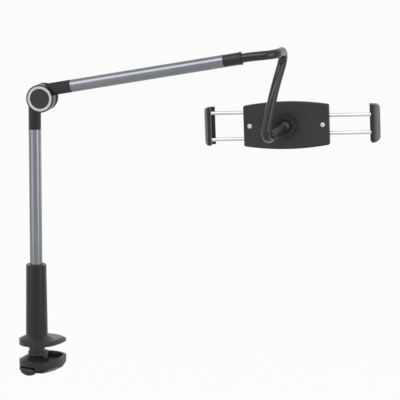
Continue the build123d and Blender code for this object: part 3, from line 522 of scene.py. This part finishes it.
@dataclass
class Lever(Assembly):
    """Lever that locks the lower jaw.

    Lengths are in millimetres and the heading in degrees. The crown is made of steps
    towards both ends, each of which shrinks what lies beyond it about the grip's middle.
    """

    edge: float = 2.4
    heading: float = 67.0
    grip: tuple[float, float] = (-21.0, -37.0)
    grip_start: float = -18.7
    foot_top: float = -40.5
    crown_from: tuple[float, ...] = (3.0, 5.5, 7.5, 9.2, 10.6, 11.8)
    crown_step: float = 0.93
    slack: float = 0.05

    def build(self) -> None:
        """Round the lever's edges and crown its grip."""
        piece = self.soften("clamp_lever", PLASTIC, self.edge)
        angle = math.radians(self.heading)
        out = Vector((math.cos(angle), math.sin(angle), 0.0))
        across = Vector((math.sin(angle), -math.cos(angle), 0.0))
        steps = [(side, reach) for reach in self.crown_from for side in SIDES]
        only(piece)
        bpy.ops.object.mode_set(mode="EDIT")
        for side, reach in steps:
            bpy.ops.mesh.select_all(action="SELECT")
            bpy.ops.mesh.bisect(plane_co=across * side * reach * MM, plane_no=across)
        bpy.ops.object.mode_set(mode="OBJECT")
        places = [(vertex.co.dot(across) / MM, vertex.co.dot(out) / MM, vertex.co.z / MM)
                  for vertex in piece.data.vertices]
        for side, reach in steps:
            self._pick(piece, [side * wide > reach - self.slack
                               and (far < self.grip_start or high < self.foot_top)
                               for wide, far, high in places])
            middle = Vector((0.0, 0.0, self.grip[1]))
            centre = (out * self.grip[0] + across * side * reach + middle) * MM
            bpy.ops.transform.resize(value=(self.crown_step,) * 3, center_override=centre)
        bpy.ops.object.mode_set(mode="OBJECT")
        log.info("%s has a crowned grip", piece.name)

    @staticmethod
    def _pick(piece: bpy.types.Object, wanted: list[bool]) -> None:
        """Enter edit mode with some vertices selected.

        Args:
            piece: The active piece.
            wanted: For each vertex, whether it is selected.
        """
        bpy.ops.object.mode_set(mode="EDIT")
        bpy.ops.mesh.select_all(action="DESELECT")
        bpy.ops.object.mode_set(mode="OBJECT")
        for vertex, chosen in zip(piece.data.vertices, wanted):
            vertex.select = chosen
        bpy.ops.object.mode_set(mode="EDIT")


@dataclass
class Pole(Assembly):
    """Upright tube with the front half of the elbow."""

    edge: float = 0.8

    def build(self) -> None:
        """Dress the pole."""
        self.keep("lower_tube", TUBE_UPRIGHT)
        self.keep("lower_tube_plug", BEARING)
        self.soften("lower_elbow_socket", SLEEVE_PLASTIC, self.edge)
        self.keep("elbow_bush", BEARING)
        self.keep("friction_washer", BEARING)
        self.keep("front_trim_ring", RING)
        self.keep("front_cap", PLATE_PLASTIC)


@dataclass
class Arm(Assembly):
    """Upper tube with the back half of the elbow."""

    edge: float = 0.8

    def build(self) -> None:
        """Dress the arm."""
        self.keep("upper_tube", TUBE_ARM)
        self.soften("upper_elbow_socket", ELBOW_PLASTIC, self.edge)
        self.keep("arm_end_sleeve", PLASTIC)
        self.keep("hose_ferrule", DARK_PIN)
        self.keep("back_trim_ring", RING)
        self.keep("back_cap", PLATE_PLASTIC)
        for node in ("elbow_bolt", "elbow_nut", "disc_springs"):
            self.keep(node, STEEL)


@dataclass
class Gooseneck:
    """Bendable hose from the arm's end to the ball stud.

    Lengths are in millimetres. The corners and the stem's end are counted from the arm's
    end, and each bend's radius belongs to the corner of the same number.
    """

    bodies: tuple[str, ...] = ("arm", "neck_2", "neck_3", "neck_4", "neck_5", "neck_6", "stem")
    radius: float = 6.9
    elbow: Triple = (12.0, 0.0, 380.5)
    arm_offset: float = 10.4
    arm_length: float = 315.4
    root: float = 298.0
    start: float = 315.0
    first_corner: float = 14.0
    corners: tuple[Triple, ...] = ((48.8, 12.0, 5.6), (51.6, 72.0, 6.3), (37.6, 41.7, -60.1))
    stem_end: Triple = (33.8, 46.8, -123.9)
    last_run: float = 22.8
    in_stem: float = 8.0
    bends: tuple[float, ...] = (78.0, 27.0, 18.5, 340.0, 12.6)
    step: float = 1.2
    fewest_steps: int = 8
    bend_reach: int = 7
    sides: int = 10
    smooth_angle: float = 40.0

    def arm_point(self, along: float) -> Vector:
        """Give a point on the arm's axis.

        Args:
            along: Distance from the elbow, in millimetres.

        Returns:
            The point, in millimetres.
        """
        axis = Vector((math.cos(ARM_TILT), 0.0, math.sin(ARM_TILT)))
        up = Vector((-math.sin(ARM_TILT), 0.0, math.cos(ARM_TILT)))
        return Vector(self.elbow) + axis * along + up * self.arm_offset

    def centreline(self, ball: Vector) -> list[Vector]:
        """Give closely spaced points along the hose.

        Args:
            ball: Centre of the ball that the stem ends in, in millimetres.

        Returns:
            The points, in millimetres.
        """
        arm_end = self.arm_point(self.arm_length)
        stem_end = arm_end + Vector(self.stem_end)
        stem = (stem_end - ball).normalized()
        route = [self.arm_point(self.root), self.arm_point(self.start + self.first_corner)]
        route += [arm_end + Vector(corner) for corner in self.corners]
        route += [stem_end + stem * self.last_run, stem_end - stem * self.in_stem]
        points = [route[0]]
        for number, radius in enumerate(self.bends, start=1):
            self._bend(points, route[number - 1:number + 2], radius)
        self._run(points, route[-1])
        return points

    def _bend(self, points: list[Vector], corner: list[Vector], radius: float) -> None:
        """Add the run up to a bend, and the bend itself.

        Args:
            points: The list that grows.
            corner: The corner between its two neighbours on the route.
            radius: Radius of the bend, in millimetres.
        """
        before, middle, after = corner
        into = (middle - before).normalized()
        away = (after - middle).normalized()
        turn = into.angle(away)
        begin = middle - into * radius * math.tan(turn / 2)
        axis = into.cross(away).normalized()
        centre = begin + axis.cross(into) * radius
        self._run(points, begin)
        steps = max(self.fewest_steps, math.ceil(radius * turn / self.step))
        for count in range(1, steps + 1):
            spin = Matrix.Rotation(turn * count / steps, 3, axis)
            points.append(centre + spin @ (begin - centre))

    def _run(self, points: list[Vector], end: Vector) -> None:
        """Add a straight run.

        Args:
            points: The list that grows.
            end: Where the run ends.
        """
        begin = points[-1].copy()
        steps = max(1, math.ceil((end - begin).length / self.step))
        for count in range(1, steps + 1):
            points.append(begin.lerp(end, count / steps))

    def build(self) -> None:
        """Sweep the hose as one piece across each of its joints."""
        spots = {joint["name"]: Vector(joint["pos_m"]) / MM for joint in frame["joints"]
                 if joint["name"].startswith(("neck_bend", "holder_tilt"))}
        points = self.centreline(spots.pop("holder_tilt"))
        places = [self._nearest(points, spot) for spot in spots.values()]
        cuts = [0] + [(a + b) // 2 for a, b in zip(places, places[1:])] + [len(points) - 1]
        for number, spot in enumerate(places):
            run = points[cuts[number]:cuts[number + 1] + 1]
            piece = self._tube(f"hose_run_{number + 1}", run)
            nodes = [f"hose_{number + 1}"] + (["hose_7"] if spot == places[-1] else [])
            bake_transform(piece)
            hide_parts(*nodes)
            log.info("%s bends from %s to %s", piece.name, self.bodies[number],
                     self.bodies[number + 1])

    @staticmethod
    def _nearest(points: list[Vector], spot: Vector) -> int:
        """Find the point that is closest to a spot.

        Args:
            points: The points.
            spot: The spot, in the same measure.

        Returns:
            The point's number.
        """
        return min(range(len(points)), key=lambda number: (points[number] - spot).length)

    def _tube(self, name: str, run: list[Vector]) -> bpy.types.Object:
        """Sweep a round tube along points.

        Args:
            name: Name of the piece.
            run: Its centreline, in millimetres.

        Returns:
            The finished mesh piece.
        """
        line = bpy.data.curves.new(name, "CURVE")
        line.dimensions = "3D"
        spline = line.splines.new("POLY")
        spline.points.add(len(run) - 1)
        for point, place in zip(spline.points, run):
            point.co = (*(place * MM), 1.0)
        line.bevel_depth = self.radius * MM
        line.bevel_resolution = self.sides
        line.use_fill_caps = True
        piece = bpy.data.objects.new(name, line)
        bpy.context.scene.collection.objects.link(piece)
        only(piece)
        bpy.ops.object.convert(target="MESH")
        piece = bpy.context.view_layer.objects.active
        bpy.ops.object.shade_smooth_by_angle(angle=math.radians(self.smooth_angle))
        dress(piece, HOSE)
        return piece


@dataclass
class Joinery(Assembly):
    """Pieces of one body that keep their CAD shape."""

    nodes: tuple[tuple[str, Finish], ...] = ()

    def build(self) -> None:
        """Dress each node."""
        for node, finish in self.nodes:
            self.keep(node, finish)


@dataclass
class Plate(Assembly):
    """Plate behind the device with its cover, screws and springs."""

    edge: float = 0.7

    def build(self) -> None:
        """Dress the plate."""
        self.soften("back_plate", PLATE_PLASTIC, self.edge)
        self.keep("front_cover", PLATE_PLASTIC)
        self.keep("plate_screws", SCREW)
        self.keep("left_springs", STEEL)
        self.keep("right_springs", STEEL)


@dataclass
class Clip(Assembly):
    """Sliding jaw of the holder with its rods."""

    side: str = "left"
    edge: float = 1.0

    def build(self) -> None:
        """Dress the clip."""
        self.soften(f"{self.side}_jaw", PLASTIC, self.edge)
        self.keep(f"{self.side}_jaw_pad", RUBBER)
        self.keep(f"{self.side}_rods", CHROME)
        self.keep(f"{self.side}_rod_collars", STEEL)


@dataclass(frozen=True)
class Lamp:
    """Soft lamp that points at the object.

    Azimuth and elevation are in degrees, seen from the object, and lengths in metres.
    A level of 1 is the white of the background.
    """

    name: str
    azimuth: float
    elevation: float
    distance: float
    width: float
    height: float
    level: float

    def hang(self, middle: Triple) -> None:
        """Hang the lamp.

        Args:
            middle: The point that it looks at, in metres.
        """
        azimuth, elevation = math.radians(self.azimuth), math.radians(self.elevation)
        out = Vector((math.sin(azimuth) * math.cos(elevation),
                      -math.cos(azimuth) * math.cos(elevation), math.sin(elevation)))
        data = bpy.data.lights.new(self.name, "AREA")
        data.shape = "RECTANGLE"
        data.size, data.size_y = self.width, self.height
        data.energy = self.level * math.pi * self.width * self.height
        lamp = bpy.data.objects.new(self.name, data)
        lamp.location = Vector(middle) + out * self.distance
        lamp.visible_camera = False
        lamp.rotation_euler = out.to_track_quat("Z", "Y").to_euler()
        bpy.context.scene.collection.objects.link(lamp)


@dataclass
class Studio:
    """Floor, light and camera. Lengths are in metres, the lens in millimetres."""

    azimuth: float = 13.957
    elevation: float = 10.043
    lens: float = 266.78
    sensor: float = 36.0
    eye: Triple = (1.307, -4.2273, 1.0061)
    sight: float = 60.0
    floor_height: float = -0.2
    floor_size: float = 44.0
    floor_colour: tuple[float, float, float, float] = (0.9, 0.9, 0.9, 1.0)
    floor_roughness: float = 0.9
    floor_glow: float = 0.95
    world_level: float = 0.3
    middle: Triple = (0.18, 0.0, 0.25)
    lamps: tuple[Lamp, ...] = (
        Lamp("top_box", -8.0, 50.0, 2.2, width=2.6, height=1.4, level=2.6),
        Lamp("left_box", -46.0, 4.0, 1.8, width=1.25, height=2.2, level=0.95),
        Lamp("right_box", 64.0, 4.0, 1.8, width=1.05, height=2.2, level=1.75),
        Lamp("rim_box", 135.0, 4.0, 1.8, width=0.6, height=2.2, level=1.2),
    )

    def build(self) -> None:
        """Set up the studio."""
        self._camera()
        self._world()
        self._floor()
        for lamp in self.lamps:
            lamp.hang(self.middle)
        bpy.context.scene.view_settings.view_transform = "Standard"

    def _camera(self) -> None:
        """Place the camera at the photograph's view."""
        data = bpy.data.cameras.new("camera")
        data.lens = self.lens
        data.sensor_width = self.sensor
        data.clip_end = self.sight
        camera = bpy.data.objects.new("camera", data)
        camera.location = self.eye
        camera.rotation_euler = (math.radians(90 - self.elevation), 0.0,
                                 math.radians(self.azimuth))
        bpy.context.scene.collection.objects.link(camera)
        bpy.context.scene.camera = camera

    def _seen(self, sheet: Sheet) -> bpy.types.NodeSocket:
        """Tell rays that show the background from rays that only light the object.

        Args:
            sheet: The node tree that asks.

        Returns:
            An output that is 1 for camera, glossy and transmission rays and 0 for others.
        """
        path = sheet.add("ShaderNodeLightPath")
        mirrored = sheet.add("ShaderNodeMath", operation="ADD", use_clamp=True)
        sheet.link(path.outputs["Is Camera Ray"], mirrored.inputs[0])
        sheet.link(path.outputs["Is Glossy Ray"], mirrored.inputs[1])
        seen = sheet.add("ShaderNodeMath", operation="ADD", use_clamp=True)
        sheet.link(mirrored.outputs["Value"], seen.inputs[0])
        sheet.link(path.outputs["Is Transmission Ray"], seen.inputs[1])
        return seen.outputs["Value"]

    def _world(self) -> None:
        """Make a plain world that shows white."""
        world = bpy.data.worlds.new("studio")
        bpy.context.scene.world = world
        world.use_nodes = True
        sheet = Sheet(world.node_tree)
        back = world.node_tree.nodes["Background"]
        level = sheet.add("ShaderNodeMapRange", in_3=self.world_level, in_4=1.0)
        sheet.link(self._seen(sheet), level.inputs["Value"])
        sheet.link(level.outputs["Result"], back.inputs["Strength"])
        back.inputs["Color"].default_value = WHITE

    def _floor(self) -> None:
        """Lay the pale floor."""
        bpy.ops.object.select_all(action="DESELECT")
        bpy.ops.mesh.primitive_plane_add(size=self.floor_size,
                                         location=(0.0, 0.0, self.floor_height))
        floor = bpy.context.active_object
        floor.name = "studio_floor"
        material = bpy.data.materials.new("pale_floor")
        material.use_nodes = True
        sheet = Sheet(material.node_tree)
        shader = material.node_tree.nodes["Principled BSDF"]
        sheet.fill(shader, {"Base Color": self.floor_colour, "Roughness": self.floor_roughness})
        glow = sheet.add("ShaderNodeEmission", in_0=WHITE, in_1=1.0)
        share = sheet.add("ShaderNodeMath", operation="MULTIPLY", in_1=self.floor_glow)
        sheet.link(self._seen(sheet), share.inputs[0])
        mix = sheet.add("ShaderNodeMixShader")
        sheet.link(share.outputs["Value"], mix.inputs["Fac"])
        sheet.link(shader.outputs["BSDF"], mix.inputs[1])
        sheet.link(glow.outputs["Emission"], mix.inputs[2])
        output = material.node_tree.nodes["Material Output"]
        sheet.link(mix.outputs["Shader"], output.inputs["Surface"])
        floor.data.materials.append(material)


def main() -> None:
    """Build the studio, then the stand piece by piece."""
    logging.basicConfig(level=logging.INFO, format="%(name)s: %(message)s")
    Studio().build()
    Clamp("base").build()
    LowerJaw("clamp_jaw").build()
    Lever("lever").build()
    Pole("pole").build()
    Arm("arm").build()
    Gooseneck().build()
    Joinery("stem", (("ball_stud", DARK_METAL),)).build()
    Joinery("liner", (("ball_liner", DARK_LINER),)).build()
    Joinery("socket", (("socket_housing", DARK_METAL), ("lock_nut", PLASTIC))).build()
    Plate("plate").build()
    Clip("left_grip", side="left").build()
    Clip("right_grip", side="right").build()


if __name__ == "__main__":
    main()
